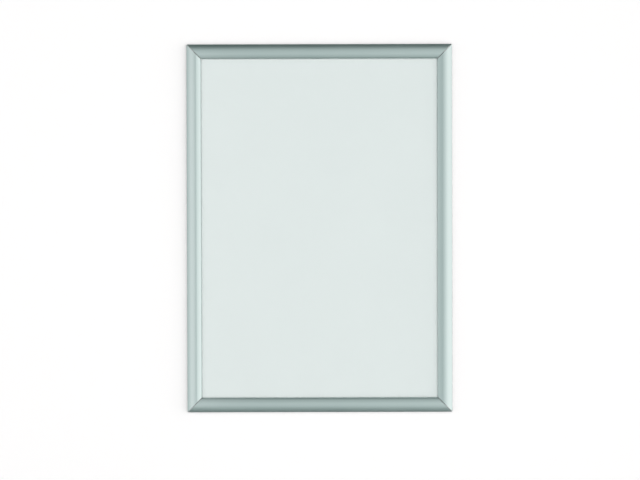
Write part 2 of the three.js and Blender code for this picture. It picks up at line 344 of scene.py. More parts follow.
# %% Draw the cover's section
pen = Pen("cover_section", polar(HINGE, hook_radius, hook_tip))
pen.arc(HINGE, heading(face_centre, HINGE), CLOCKWISE)
pen.arc(face_centre, crease_angle, CLOCKWISE)
pen.arc(slope_centre, lip_angle, CLOCKWISE)
pen.arc(lip_centre, 0, CLOCKWISE)
pen.line((COVER_WIDTH, COVER_FOOT), (lip_inside, COVER_FOOT), (lip_inside, lip_centre.y))
pen.arc(lip_centre, lip_angle, ANTICLOCKWISE)
pen.arc(slope_centre, crease_root, ANTICLOCKWISE)
pen.arc(face_centre, heading(face_centre, hook_root), ANTICLOCKWISE)
pen.arc(HINGE, heading(HINGE, cup_top), CLOCKWISE)
pen.line(polar(cover_seat, CUP_BORE, cup_top_angle))
pen.arc(cover_seat, cup_foot_angle, ANTICLOCKWISE)
pen.line(polar(cover_seat, cup_radius, cup_foot_angle))
pen.arc(cover_seat, heading(cover_seat, heel_outer), CLOCKWISE)
pen.line(polar(HINGE, hook_bore, hook_heel))
pen.arc(HINGE, hook_tip, ANTICLOCKWISE)
cover_section = pen.close()
round_corners(cover_section)

# %% [markdown]
# ## The base rail's section
# The base rail lies flat on the wall. From the outside inwards it has a low outer wall that slopes
# up to the neck and bead, a floor where the wall screws go, an upright that carries the spring cup,
# and a ledge that the board lies on, with a slotted channel under it for the corner keys. It is one
# extrusion, so it is one outline too.

# %% Sizes of the base rail
FLOOR_WALL = 1.2 * MM
OUTER_WALL = 1.2 * MM
SHOULDER_HEIGHT = 2.4 * MM
NECK_FOOT = 4.3 * MM
LEDGE_HEIGHT = 4.2 * MM
LEDGE_WALL = 1 * MM
BASE_WIDTH = 24 * MM
KEY_SLOT_LIP = 1.5 * MM

stop_inset = BASE_SEAT.x + cup_radius
stop_wall = stop_inset - CUP_WALL - CUP_BORE / 2
neck_outer = HINGE.x - NECK_WIDTH / 2
neck_inner = HINGE.x + NECK_WIDTH / 2
slope = (NECK_FOOT - SHOULDER_HEIGHT) / neck_outer
inner_shoulder = NECK_FOOT - (neck_inner - OUTER_WALL) * slope
channel_end = BASE_WIDTH - OUTER_WALL
channel_top = LEDGE_HEIGHT - LEDGE_WALL
neck_swing = math.asin(NECK_WIDTH / 2 / BEAD_RADIUS)
cup_swing = math.acos((BASE_SEAT.x - stop_wall) / cup_radius)
print("poster's edge lies", round(stop_inset / MM, 1), "mm inside the frame's edge")

# %% Draw the base rail's section
pen = Pen("base_section", Vector((0, 0)))
pen.line((stop_inset + KEY_SLOT_LIP, 0), (stop_inset + KEY_SLOT_LIP, FLOOR_WALL))
pen.line((stop_inset, FLOOR_WALL), (stop_inset, channel_top))
pen.line((channel_end, channel_top), (channel_end, FLOOR_WALL))
pen.line((channel_end - KEY_SLOT_LIP, FLOOR_WALL), (channel_end - KEY_SLOT_LIP, 0))
pen.line((BASE_WIDTH, 0), (BASE_WIDTH, LEDGE_HEIGHT), (stop_inset, LEDGE_HEIGHT))
pen.line((stop_inset, BASE_SEAT.y))
pen.arc(BASE_SEAT, UP, ANTICLOCKWISE)
pen.line(polar(BASE_SEAT, CUP_BORE, UP))
pen.arc(BASE_SEAT, DOWN, CLOCKWISE)
pen.line(polar(BASE_SEAT, cup_radius, DOWN))
pen.arc(BASE_SEAT, cup_swing - math.pi, ANTICLOCKWISE)
pen.line((stop_wall, FLOOR_WALL), (OUTER_WALL, FLOOR_WALL))
pen.line((OUTER_WALL, inner_shoulder), (neck_inner, NECK_FOOT))
pen.line(polar(HINGE, BEAD_RADIUS, DOWN + neck_swing))
pen.arc(HINGE, DOWN - neck_swing, ANTICLOCKWISE)
pen.line((neck_outer, NECK_FOOT), (0, SHOULDER_HEIGHT))
base_section = pen.close()
round_corners(base_section)

# %% [markdown]
# ## From a section to a mitred rail
# The factory saws extruded bars to length at 45 degrees, so that four of them close into a frame.
# A rail could be given its slanted ends point by point, but it is truer to the making, and simpler,
# to extrude the section too long and saw it: bisect cuts the bar with a plane and fills the cut.
# A hair's gap is left at each mitre, wider between the covers, which have to clear each other as they
# swing. It is the fine dark line that the photograph shows at the corners.

# %% Extrude and saw
BASE_GAP = 0.15 * MM
COVER_GAP = 0.5 * MM

frame_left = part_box("base_rail_left")[0].x
frame_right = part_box("base_rail_right")[1].x
frame_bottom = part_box("base_rail_bottom")[0].z
frame_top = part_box("base_rail_top")[1].z
short_length = frame_right - frame_left
long_length = frame_top - frame_bottom
rail_lengths = {"short": short_length, "long": long_length}


def copy_of(piece, name):
    """A copy of a piece with a mesh of its own."""
    only(piece)
    bpy.ops.object.duplicate()
    copy = bpy.context.object
    copy.name = name
    return copy


def extrude(section, name, length):
    """A bar of that length with the section all along it."""
    bar = copy_of(section, name)
    edit(bar, "FACE")
    bpy.ops.mesh.select_all(action="SELECT")
    bpy.ops.transform.translate(value=(-length / 2, 0, 0))
    bpy.ops.mesh.extrude_region_move(TRANSFORM_OT_translate={"value": (length, 0, 0)})
    bpy.ops.mesh.select_all(action="SELECT")
    bpy.ops.mesh.normals_make_consistent(inside=False)
    done()
    return bar


def saw_mitres(bar, length, gap):
    """Cuts both ends at 45 degrees, so that the bar is longest at its outer edge."""
    for end in (-1, 1):
        edit(bar, "VERT")
        bpy.ops.mesh.select_all(action="SELECT")
        bpy.ops.mesh.bisect(
            plane_co=(end * (length / 2 - gap), 0, 0),
            plane_no=(end, 0, 1),
            use_fill=True,
            clear_outer=True,
        )
        done()


# %% Saw the cover rails and the base rails
covers = {}
bases = {}
for kind, length in rail_lengths.items():
    covers[kind] = extrude(cover_section, f"{kind}_cover", length)
    bases[kind] = extrude(base_section, f"{kind}_base", length)
    saw_mitres(covers[kind], length, COVER_GAP)
    saw_mitres(bases[kind], length, BASE_GAP)
    print(kind, "rails are", round(length / MM, 1), "mm long")

# %% [markdown]
# ## Room for a cover to open
# When a cover opens, its cup swings further into the frame than its mitred end allows, and it would
# meet the neighbour. The maker notches the leg away near both ends. A boolean with a box takes the
# same notch: everything below the hinge line, back to the furthest point of the cup's swing.

# %% Notch the covers' legs
OVERRUN = 1 * MM

cup_reach = HINGE.x + lever_radius + cup_radius


def cut_away(piece, cutter):
    """Takes the cutter's shape out of the piece, and removes the cutter."""
    only(piece)
    cut = piece.modifiers.new("cut", "BOOLEAN")
    cut.operation = "DIFFERENCE"
    cut.solver = "EXACT"
    cut.object = cutter
    bpy.ops.object.modifier_apply(modifier=cut.name)
    only(cutter)
    bpy.ops.object.delete()


def box(low, high):
    """A box between two corners, to cut with or to shape further."""
    bpy.ops.object.select_all(action="DESELECT")
    middle = (Vector(low) + Vector(high)) / 2
    bpy.ops.mesh.primitive_cube_add(size=1, location=middle, scale=Vector(high) - Vector(low))
    bpy.ops.object.transform_apply(location=True, rotation=True, scale=True)
    return bpy.context.object


for kind, length in rail_lengths.items():
    for end in (-1, 1):
        notch_start = end * (length / 2 - COVER_GAP - cup_reach)
        notch_end = end * (length / 2 + OVERRUN)
        low = (min(notch_start, notch_end), -HINGE.y, 0)
        high = (max(notch_start, notch_end), OVERRUN, 2 * cup_reach)
        cut_away(covers[kind], box(low, high))
    print(covers[kind].name, "has", len(covers[kind].data.polygons), "faces")

# %% [markdown]
# ## Slots for the leaf springs
# As a cover opens, each leaf swings through more than a right angle in the cover's cup, and it would
# meet the cup's lower wall. So that wall is milled away where a spring sits, as wide as the spring
# and a little more. The cutter is a slice of a disc about the cup's centre, from just short of the
# open leaf round past the wall's foot. It is drawn like a section and gets the slot's width.

# %% Mill the slots in the covers' cups
SPRING_WIDTH = 22 * MM
SPRING_END_INSET = 95 * MM
SPRING_COUNTS = {"short": 2, "long": 3}
SLOT_CLEARANCE = 0.5 * MM
SLOT_START = math.radians(190)
SLOT_OVERLAP = math.radians(10)


def spring_places(kind):
    """Where the springs of one rail have their middles, measured along it."""
    reach = rail_lengths[kind] / 2 - SPRING_END_INSET
    count = SPRING_COUNTS[kind]
    return [reach * (2 * number / (count - 1) - 1) for number in range(count)]


slice_radius = cup_radius + SLOT_CLEARANCE
pen = Pen("slot_section", cover_seat)
pen.line(polar(cover_seat, slice_radius, SLOT_START))
pen.arc(cover_seat, cup_foot_angle + SLOT_OVERLAP, ANTICLOCKWISE)
slot_section = pen.close()
for kind, cover in covers.items():
    for along in spring_places(kind):
        cutter = extrude(slot_section, "slot_cutter", SPRING_WIDTH + 2 * SLOT_CLEARANCE)
        cutter.location.x = along
        cut_away(cover, cutter)
    print(cover.name, "has", SPRING_COUNTS[kind], "slots in its cup")

# %% [markdown]
# ## Broken edges at the mitres
# A saw leaves a raw corner, and the maker breaks it with a light pass, so that it doesn't cut a
# hand. That narrow bevel is bare metal and draws the mitre as a fine line. Only the front corner of
# each mitre is bevelled: the edges are found as those whose two ends lie on the saw's plane and on
# the front of the rail.

# %% Bevel the mitres' front corners
BROKEN_EDGE = 0.25 * MM


def on_arc(spot, centre, radius):
    """Whether a point of a section lies on one of its arcs."""
    return abs((spot - centre).length - radius) < NEAR


def on_cover_front(point):
    """Whether a point lies on the hook's outside, the face, its inner slope or the lip."""
    spot = Vector((point.z, -point.y))
    on_hook = on_arc(spot, HINGE, hook_radius) and spot.y > HINGE.y + BEAD_RADIUS
    on_lip = on_arc(spot, lip_centre, LIP_RADIUS) and spot.x > lip_centre.x
    on_face = on_arc(spot, face_centre, face_radius)
    return on_hook or on_lip or on_face or on_arc(spot, slope_centre, SLOPE_RADIUS)


def on_ledge_front(point):
    """Whether a point lies on the front of the base rail's ledge."""
    return point.z > stop_inset and abs(point.y + LEDGE_HEIGHT) < NEAR


def break_mitres(bar, length, gap, on_front):
    """Bevels the corners where the saw's planes meet the front."""

    def at_corner(point):
        on_cut = abs(abs(point.x) + point.z - (length / 2 - gap)) < NEAR
        return on_cut and on_front(point)

    found = bevel_edges(bar, both(at_corner), BROKEN_EDGE)
    print(bar.name, "had", found, "mitre edges broken")


for kind, length in rail_lengths.items():
    break_mitres(covers[kind], length, COVER_GAP, on_cover_front)
    break_mitres(bases[kind], length, BASE_GAP, on_ledge_front)

# %% [markdown]
# ## Holes for the wall screws
# The frame hangs on four screws, one near each end of the two long base rails. Each hole goes
# through the rail's floor, between its outer wall and the spring cup. A cylinder cuts it, and the
# hole's front rim is then broken like the mitres, because a drill raises a burr there.

# %% Drill the long base rails
HOLE_RADIUS = 2.4 * MM
HOLE_END_INSET = 60 * MM
HOLE_SIDES = 48

hole_inset = (HINGE.x + BASE_SEAT.x) / 2
hole_from_middle = long_length / 2 - HOLE_END_INSET
for end in (-1, 1):
    bpy.ops.object.select_all(action="DESELECT")
    bpy.ops.mesh.primitive_cylinder_add(
        vertices=HOLE_SIDES,
        radius=HOLE_RADIUS,
        depth=FLOOR_WALL + 2 * OVERRUN,
        location=(end * hole_from_middle, -FLOOR_WALL / 2, hole_inset),
        rotation=(RIGHT_ANGLE, 0, 0),
    )
    cut_away(bases["long"], bpy.context.object)


def on_hole_rim(point):
    """Whether a point lies on the front rim of a screw hole."""
    across = math.hypot(abs(point.x) - hole_from_middle, point.z - hole_inset)
    return abs(across - HOLE_RADIUS) < NEAR and abs(point.y + FLOOR_WALL) < NEAR


rim_edges = bevel_edges(bases["long"], both(on_hole_rim), BROKEN_EDGE)
print("holes' rims had", rim_edges, "edges,", round(2 * hole_from_middle / MM), "mm apart up the rail")

# %% [markdown]
# ## The leaf springs
# Each spring is a strip of spring steel, bowed towards the wall, with both ends rolled into a bead
# that turns in a cup. It is what holds a cover both shut and open. Its section is drawn like the
# rails' ones, from the two cups' centres, and it is then given the strip's width. The corners of
# the strip are broken too, since a stamped strip is tumbled before it is used.

# %% Draw the spring's section
SPRING_THICKNESS = 0.5 * MM
SPRING_END_RADIUS = 0.6 * MM
SPRING_SAG = 1.2 * MM

chord = (BASE_SEAT - cover_seat).length
bow_radius = (chord**2 / 4 + SPRING_SAG**2) / (2 * SPRING_SAG)
bow_centre = polar(
    (cover_seat + BASE_SEAT) / 2,
    bow_radius - SPRING_SAG,
    heading(cover_seat, BASE_SEAT) + UP,
)
bow_outside = bow_radius + SPRING_THICKNESS / 2
bow_inside = bow_radius - SPRING_THICKNESS / 2
far_outside = circles_meet(bow_centre, bow_outside, BASE_SEAT, SPRING_END_RADIUS, RIGHT)
far_inside = circles_meet(bow_centre, bow_inside, BASE_SEAT, SPRING_END_RADIUS, RIGHT)
near_outside = circles_meet(bow_centre, bow_outside, cover_seat, SPRING_END_RADIUS, LEFT)
near_inside = circles_meet(bow_centre, bow_inside, cover_seat, SPRING_END_RADIUS, LEFT)
pen = Pen("spring_section", near_outside)
pen.arc(bow_centre, heading(bow_centre, far_outside), ANTICLOCKWISE)
pen.arc(BASE_SEAT, heading(BASE_SEAT, far_inside), ANTICLOCKWISE)
pen.arc(bow_centre, heading(bow_centre, near_inside), CLOCKWISE)
pen.arc(cover_seat, heading(cover_seat, near_outside), ANTICLOCKWISE)
spring_section = pen.close()
print("spring's bow has a radius of", round(bow_radius / MM, 1), "mm")

# %% Give the spring its width
SPRING_EDGE = 0.08 * MM
ROUND_FACETS = 2


def on_strip_side(point):
    """Whether a point lies on one of the strip's two sides."""
    return abs(abs(point.x) - SPRING_WIDTH / 2) < NEAR


spring = extrude(spring_section, "leaf_spring", SPRING_WIDTH)
bevel_edges(spring, both(on_strip_side), SPRING_EDGE, ROUND_FACETS)
print("spring has", len(spring.data.polygons), "faces")

# %% [markdown]
# ## The corner keys
# An L-shaped key slides into the channels of two base rails and holds their mitre shut. It is
# stamped from plate. It starts as one square block at the corner, whose two inner sides are
# extruded into arms. The arms' end corners are bevelled wide, so that they find the channel, and
# every edge is then rounded a little, as stamping and plating leave it.

# %% Shape one key with its outer corner at the origin
KEY_CLEARANCE = 0.3 * MM
KEY_ARM = 45 * MM
KEY_EDGE = 0.15 * MM
FACES_THAT_WAY = 0.9

key_width = channel_end - stop_inset - 2 * KEY_CLEARANCE
key_thickness = channel_top - FLOOR_WALL - 2 * KEY_CLEARANCE
key_taper = key_width / 4
key = box((0, -key_thickness, 0), (key_width, 0, key_width))
key.name = "corner_key"


def grow_arm(axis):
    """Extrudes the block's side along one axis into an arm."""

    def is_that_side(face):
        return face.normal[axis] > FACES_THAT_WAY and face.center[axis] > key_width - NEAR

    growth = Vector()
    growth[axis] = KEY_ARM - key_width
    select(key, "polygons", is_that_side)
    edit(key, "FACE")
    bpy.ops.mesh.extrude_region_move(TRANSFORM_OT_translate={"value": growth})
    done()


def at_arm_end(first, second):
    """Whether an edge runs through the plate at the end of an arm."""
    across_plate = abs(first.y - second.y) > key_thickness / 2
    return across_plate and max(first.x, first.z) > KEY_ARM - NEAR


grow_arm(0)
grow_arm(2)
bevel_edges(key, at_arm_end, key_taper)
bevel_edges(key, lambda first, second: True, KEY_EDGE, ROUND_FACETS)
print("key in mm:", [round(c / MM, 1) for c in key.dimensions])

# %% [markdown]
# ## The board and the clear sheet
# Behind the poster lies a stiff white board, and over it a thin clear sheet, both cut a hair
# smaller than the poster. They are the large pale field of the photograph. A sheet is cut with a
# die that rounds its corners, and its cut edge is never quite sharp, so each starts as a box whose
# four upright corners are rounded, after which its rims are broken.

# %% Cut the two flat layers
SHEET_CORNER = 1.5 * MM
SHEET_FACETS = 6
BOARD_RIM = 0.15 * MM
SHEET_RIM = 0.05 * MM


def flat_layer(name, node, rim):
    """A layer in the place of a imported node, with rounded corners and a broken rim."""
    layer = box(*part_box(node))
    layer.name = name
    half = layer.dimensions.y / 2
    bevel_edges(layer, lambda a, b: abs(a.y - b.y) > half, SHEET_CORNER, SHEET_FACETS)
    bevel_edges(layer, lambda a, b: abs(a.y - b.y) < NEAR, rim, ROUND_FACETS)
    print(name, "in mm:", [round(c / MM, 1) for c in layer.dimensions])
    return layer


board = flat_layer("white_board", "backing_board", BOARD_RIM)
sheet = flat_layer("clear_front", "clear_sheet", SHEET_RIM)

# %% [markdown]
# ## Smooth and sharp shading
# The arcs are short flat strips. Smooth shading blends their normals, and an angle limit keeps the
# real corners crisp. That is set before the pieces are copied, so every copy has it. The board, the
# sheet and the keys are flat plates with narrow rims, and stay flat shaded: a rim that shades into
# a wide face would tilt the light across all of it.

# %% Shade by angle
SMOOTH_TURN = math.radians(30)

patterns = [*covers.values(), *bases.values(), spring]
for piece in patterns:
    only(piece)
    bpy.ops.object.shade_smooth_by_angle(angle=SMOOTH_TURN)
print("pieces shaded:", len(patterns))

# %% [markdown]
# ## Sending the pieces to their places
# Each side of the frame is the bottom side, turned about the line that points out of the wall. A
# copy's turn and place could stay on its object, but then a pattern would turn with it and the
# export would lose it. So both are applied, and the object ends at the origin with its place in its
# mesh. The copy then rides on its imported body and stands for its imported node.

# %% Place a copy on a body
sides = {
    "bottom": ((0, 0, frame_bottom), 0, "short"),
    "top": ((0, 0, frame_top), 2 * RIGHT_ANGLE, "short"),
    "left": ((frame_left, 0, 0), RIGHT_ANGLE, "long"),
    "right": ((frame_right, 0, 0), -RIGHT_ANGLE, "long"),
}


def misfit(piece, node):
    """The most in mm by which a piece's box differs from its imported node's box."""
    worst = 0
    for axis, (low, high) in enumerate(zip(*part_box(node))):
        places = [vertex.co[axis] for vertex in piece.data.vertices]
        worst = max(worst, abs(min(places) - low), abs(max(places) - high))
    return round(worst / MM, 2)


def put(piece, spot, turn, body, node):
    """Applies a piece's turn and place, ties it to its body, hides its imported node and prints how
    far their boxes differ.
    """
    only(piece)
    piece.rotation_euler.y = turn
    piece.location = spot
    bpy.ops.object.transform_apply(location=True, rotation=True, scale=True)
    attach(piece, body)
    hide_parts(node)
    print(piece.name, "differs from its node by", misfit(piece, node), "mm")


# %% Place the rails
rails = {}
for side, (spot, turn, kind) in sides.items():
    cover = copy_of(covers[kind], f"satin_cover_{side}")
    base = copy_of(bases[kind], f"mill_base_{side}")
    put(cover, spot, turn, f"cover_{side}", f"cover_rail_{side}")
    put(base, spot, turn, "frame", f"base_rail_{side}")
    rails[side] = (cover, base)

# %% Place the springs
springs = {side: [] for side in sides}
for side, (spot, turn, kind) in sides.items():
    for number, along in enumerate(spring_places(kind)):
        leaf = copy_of(spring, f"steel_spring_{side}_{number + 1}")
        shift = Vector((along * math.cos(turn), 0, -along * math.sin(turn)))
        node = f"snap_spring_{side}_{number + 1}"
        put(leaf, Vector(spot) + shift, turn, f"springs_{side}", node)
        springs[side].append(leaf)

# %% Place the keys, the board and the sheet
key_inset = stop_inset + KEY_CLEARANCE
key_back = FLOOR_WALL + KEY_CLEARANCE
corners = {
    "bottom_left": (frame_left + key_inset, frame_bottom + key_inset, 0),
    "bottom_right": (frame_right - key_inset, frame_bottom + key_inset, -RIGHT_ANGLE),
    "top_right": (frame_right - key_inset, frame_top - key_inset, 2 * RIGHT_ANGLE),
    "top_left": (frame_left + key_inset, frame_top - key_inset, RIGHT_ANGLE),
}
keys = []
for corner, (across, height, turn) in corners.items():
    corner_key = copy_of(key, f"zinc_key_{corner}")
    spot = (across, -key_back, height)
    put(corner_key, spot, turn, "frame", f"corner_key_{corner}")
    keys.append(corner_key)
put(board, (0, 0, 0), 0, "frame", "backing_board")
put(sheet, (0, 0, 0), 0, "frame", "clear_sheet")

# %% Clear the patterns that were copied
patterns += [key, cover_section, base_section, slot_section, spring_section]
for leftover in patterns:
    only(leftover)
    bpy.ops.object.delete()

# %% [markdown]
# ## Shader sums as plain Python
# A finish varies a little over a surface: a grain, a cloud of tone, a change of gloss. In a node
# tree each sum is a box with wires, which is slow to read. A small class stands for one socket and
# turns an operator into its Math node, so the sum reads as a line of Python. One method adds any
# other node: its settings first, and then the values or wires of its sockets. Every finish ends in
# the same shader with a shallow bump, so a last helper puts those in.

# %% Signals and recipes
class Signal:
    """One socket of a node tree. Arithmetic on it adds Math nodes."""

    def __init__(self, recipe, socket):
        self.recipe = recipe
        self.socket = socket

    def beside(self, name):
        """Another output of the same node."""
        return Signal(self.recipe, self.socket.node.outputs[name])

    def math(self, operation, first, second):
        return self.recipe.node("ShaderNodeMath", {"operation": operation}, {0: first, 1: second})

    def __add__(self, other):
        return self.math("ADD", self, other)

    def __sub__(self, other):
        return self.math("SUBTRACT", self, other)

    def __rsub__(self, other):
        return self.math("SUBTRACT", other, self)

    def __mul__(self, other):
        return self.math("MULTIPLY", self, other)

    __radd__ = __add__
    __rmul__ = __mul__


class Recipe:
    """A node tree that is being put together."""

    def __init__(self, tree):
        self.tree = tree
        self.tree.nodes.clear()

    def node(self, kind, settings, inputs, output=0):
        """Adds a node and returns the signal of one of its outputs."""
        made = self.tree.nodes.new(kind)
        for name, value in settings.items():
            if name == "stops":
                self.set_stops(made.color_ramp, value)
            else:
                setattr(made, name, value)
        for name, value in inputs.items():
            if isinstance(value, Signal):
                self.tree.links.new(value.socket, made.inputs[name])
            else:
                made.inputs[name].default_value = value
        if len(made.outputs) == 0:
            return None
        return Signal(self, made.outputs[output])

    def set_stops(self, ramp, stops):
        """Gives a colour ramp its stops, each a position and a colour."""
        while len(ramp.elements) < len(stops):
            ramp.elements.new(1.0)
        for element, (position, colour) in zip(ramp.elements, stops):
            element.position = position
            element.color = colour

    def blend(self, share, low, high):
        """A colour between two others."""
        inputs = {0: share, 6: low, 7: high}
        return self.node("ShaderNodeMix", {"data_type": "RGBA"}, inputs, 2)


def tone(red, green, blue):
    """An opaque colour."""
    return (red, green, blue, 1)


# %% Patterns on a piece
NOISE_ROUGHNESS = 0.55
EVEN = (1, 1, 1)


def place_in(recipe, shift, stretch):
    """The piece's own coordinates in metres, shifted and stretched."""
    spot = recipe.node("ShaderNodeTexCoord", {}, {}, "Object")
    inputs = {"Vector": spot, "Location": shift, "Scale": stretch}
    return recipe.node("ShaderNodeMapping", {}, inputs)


def pattern(recipe, stretch, size, detail, seed):
    """Soft noise from 0 to 1 on the piece, in features of that size in metres."""
    spot = place_in(recipe, seed, stretch)
    inputs = {"Vector": spot, "Scale": 1 / size, "Detail": detail, "Roughness": NOISE_ROUGHNESS}
    return recipe.node("ShaderNodeTexNoise", {}, inputs)


def new_finish(name):
    """An empty material and the recipe for it."""
    material = bpy.data.materials.new(name)
    material.use_nodes = True
    return material, Recipe(material.node_tree)


def output(recipe, shader):
    """Ends a material's recipe."""
    recipe.node("ShaderNodeOutputMaterial", {}, {"Surface": shader})


def coat(recipe, colour, gloss, height, strength, depth, **fixed):
    """Ends a recipe with a shader of that colour and roughness, its bump and its fixed values."""
    relief = {"Strength": strength, "Distance": depth, "Height": height}
    bump = recipe.node("ShaderNodeBump", {}, relief)
    inputs = {"Base Color": colour, "Roughness": gloss, "Normal": bump, **fixed}
    output(recipe, recipe.node("ShaderNodeBsdfPrincipled", {}, inputs))


# %% [markdown]
# ## Satin anodised aluminium
# The covers are extruded, brushed matt in an etching bath and anodised. What is left to see is a
# soft broad shine, a very fine grain along the bar where the die dragged, and a faint change of
# tone. A photograph could be laid on, but it would repeat. Noise stretched a hundredfold along the
# bar gives the grain at its real width of a few tenths of a millimetre, and unstretched noise gives
# the tone. The bars lie across and upright, so the finish is made once for each way.

# %% The covers' finish
STRETCH = {"across": (0.01, 1, 1), "upright": (1, 1, 0.01)}
SATIN_ROUGHNESS = 0.31


def satin_aluminium(way):
    """Etched and anodised aluminium with its grain across or upright."""
    material, recipe = new_finish(f"satin_aluminium_{way}")
    grain = pattern(recipe, STRETCH[way], 0.4 * MM, 3, (0.3, 0.7, 0.1))
    drag = pattern(recipe, STRETCH[way], 2.5 * MM, 2, (0.9, 0.2, 0.6))
    cloud = pattern(recipe, EVEN, 60 * MM, 2, (0.5, 0.5, 0.5))
    shade = 0.5 * grain + 0.2 * drag + 0.3 * cloud
    colour = recipe.blend(shade, tone(0.495, 0.590, 0.576), tone(0.545, 0.634, 0.620))
    gloss = SATIN_ROUGHNESS + 0.10 * (grain - 0.5) + 0.05 * (cloud - 0.5)
    height = 0.6 * grain + 0.4 * drag
    coat(recipe, colour, gloss, height, strength=0.25, depth=0.02 * MM, Metallic=1.0)
    return material


satin = {"short": satin_aluminium("across"), "long": satin_aluminium("upright")}
print("made", satin["short"].name, "and", satin["long"].name)

# %% [markdown]
# ## Mill aluminium and sawn aluminium
# The base rails are hidden when the covers are shut, and are left as the press makes them: greyer,
# with die lines that are wider and deeper than on the covers. The sawn ends of both extrusions are
# bright, and carry the curved marks of a round blade. Rings of a wave pattern, centred far to one
# side, give such marks.

# %% The base rails' finish
def mill_aluminium(way):
    """Bare extruded aluminium with die lines across or upright."""
    material, recipe = new_finish(f"mill_aluminium_{way}")
    lines = pattern(recipe, STRETCH[way], 0.7 * MM, 4, (0.1, 0.4, 0.8))
    stain = pattern(recipe, EVEN, 35 * MM, 3, (0.2, 0.9, 0.4))
    shade = 0.65 * lines + 0.35 * stain
    colour = recipe.blend(shade, tone(0.47, 0.49, 0.485), tone(0.60, 0.615, 0.61))
    gloss = 0.40 + 0.16 * (lines - 0.5) + 0.10 * (stain - 0.5)
    coat(recipe, colour, gloss, lines, strength=0.35, depth=0.04 * MM, Metallic=1.0)
    return material


mill = {"short": mill_aluminium("across"), "long": mill_aluminium("upright")}
print("made", mill["short"].name, "and", mill["long"].name)

# %% The sawn ends' finish
BLADE_SHIFT = (0, 0.12, 0)
BLADE_SCALE = 600.0

sawn, recipe = new_finish("sawn_aluminium")
blade = place_in(recipe, BLADE_SHIFT, EVEN)
marks = recipe.node(
    "ShaderNodeTexWave",
    {"wave_type": "RINGS", "rings_direction": "SPHERICAL"},
    {"Vector": blade, "Scale": BLADE_SCALE, "Distortion": 1.5, "Detail": 2.0},
)
colour = recipe.blend(marks, tone(0.62, 0.64, 0.635), tone(0.72, 0.74, 0.735))
coat(recipe, colour, 0.30 + 0.12 * marks, marks, strength=0.3, depth=0.03 * MM, Metallic=1.0)
print("made", sawn.name)

# %% [markdown]
# ## Spring steel and zinc plate
# The springs are polished dark steel, rolled thin, with fine lines that run across their rail and a
# trace of straw colour from tempering. The corner keys are plated with zinc, whose crystals show as
# dull and bright patches a few millimetres wide. Cells of a Voronoi pattern have that shape, where
# noise would give clouds.

# %% The springs' finish
def spring_steel(way):
    """Rolled and tempered steel strip with its lines across or upright."""
    material, recipe = new_finish(f"spring_steel_{way}")
    rolled = pattern(recipe, STRETCH[way], 0.25 * MM, 3, (0.6, 0.1, 0.3))
    temper = pattern(recipe, EVEN, 9 * MM, 2, (0.8, 0.3, 0.2))
    steel = recipe.blend(rolled, tone(0.36, 0.37, 0.38), tone(0.50, 0.51, 0.52))
    straw = recipe.blend(0.35 * temper, steel, tone(0.52, 0.46, 0.36))
    gloss = 0.26 + 0.12 * (rolled - 0.5)
    coat(recipe, straw, gloss, rolled, strength=0.2, depth=0.02 * MM, Metallic=1.0)
    return material


steel = {"short": spring_steel("upright"), "long": spring_steel("across")}
print("made", steel["short"].name, "and", steel["long"].name)

# %% The keys' finish
CRYSTALS_PER_METRE = 350.0

zinc, recipe = new_finish("zinc_plate")
inputs = {"Vector": place_in(recipe, (0, 0, 0), EVEN), "Scale": CRYSTALS_PER_METRE}
crystals = recipe.node("ShaderNodeTexVoronoi", {}, inputs, "Color")
patches = recipe.node("ShaderNodeRGBToBW", {}, {"Color": crystals})
dust = pattern(recipe, EVEN, 1.2 * MM, 3, (0.4, 0.6, 0.9))
shade = 0.6 * patches + 0.4 * dust
colour = recipe.blend(shade, tone(0.46, 0.49, 0.51), tone(0.63, 0.66, 0.68))
coat(recipe, colour, 0.32 + 0.16 * shade, dust, strength=0.3, depth=0.03 * MM, Metallic=1.0)
print("made", zinc.name)

# %% [markdown]
# ## The white board and the clear front
# The board is matt white plastic with the slight orange peel of a pressed sheet. The clear sheet is
# thin and anti-glare: it hardly shows, but it takes the hardness off every reflection. It could be
# real refracting glass, at the price of noise and a dark export. A nearly transparent surface with
# a matt shine looks the same at this thickness and keeps its clearness in the export.

# %% The board's finish
white, recipe = new_finish("white_board")
peel = pattern(recipe, EVEN, 1.8 * MM, 2, (0.2, 0.2, 0.7))
cloud = pattern(recipe, EVEN, 120 * MM, 2, (0.7, 0.4, 0.1))
shade = 0.4 * peel + 0.6 * cloud
colour = recipe.blend(shade, tone(0.835, 0.875, 0.866), tone(0.867, 0.905, 0.896))
coat(recipe, colour, 0.5 + 0.1 * peel, peel, strength=0.2, depth=0.03 * MM)
print("made", white.name)

# %% The clear sheet's finish
SHEET_ALPHA = 0.07

clear, recipe = new_finish("clear_sheet")
frost = pattern(recipe, EVEN, 0.6 * MM, 2, (0.9, 0.1, 0.2))
film = pattern(recipe, EVEN, 150 * MM, 2, (0.1, 0.6, 0.5))
colour = recipe.blend(film, tone(0.80, 0.86, 0.85), tone(0.85, 0.90, 0.89))
gloss = 0.36 + 0.1 * frost
coat(recipe, colour, gloss, frost, strength=0.1, depth=0.01 * MM, Alpha=SHEET_ALPHA)
print("made", clear.name)

# %% [markdown]
# ## Putting the finishes on
# A rail has two finishes: its own, and the sawn one on its ends and broken edges. Those faces are
# found by their normals, because every cut across a bar leaves a face that looks along it, and no
# face of the extrusion does.

# %% Assign the finishes
SAWN_LOOK = 0.4
RAIL_AXES = {"short": 0, "long": 2}


def finish_with(piece, *materials):
    """Gives a piece its materials in order."""
    piece.data.materials.clear()
    for material in materials:
        piece.data.materials.append(material)


def finish_rail(rail, skin, axis):
    """Puts the skin on a rail and the sawn finish on its cut ends."""
    finish_with(rail, skin, sawn)
    cuts = [face for face in rail.data.polygons if abs(face.normal[axis]) > SAWN_LOOK]
    for face in cuts:
        face.material_index = 1
    return len(cuts)


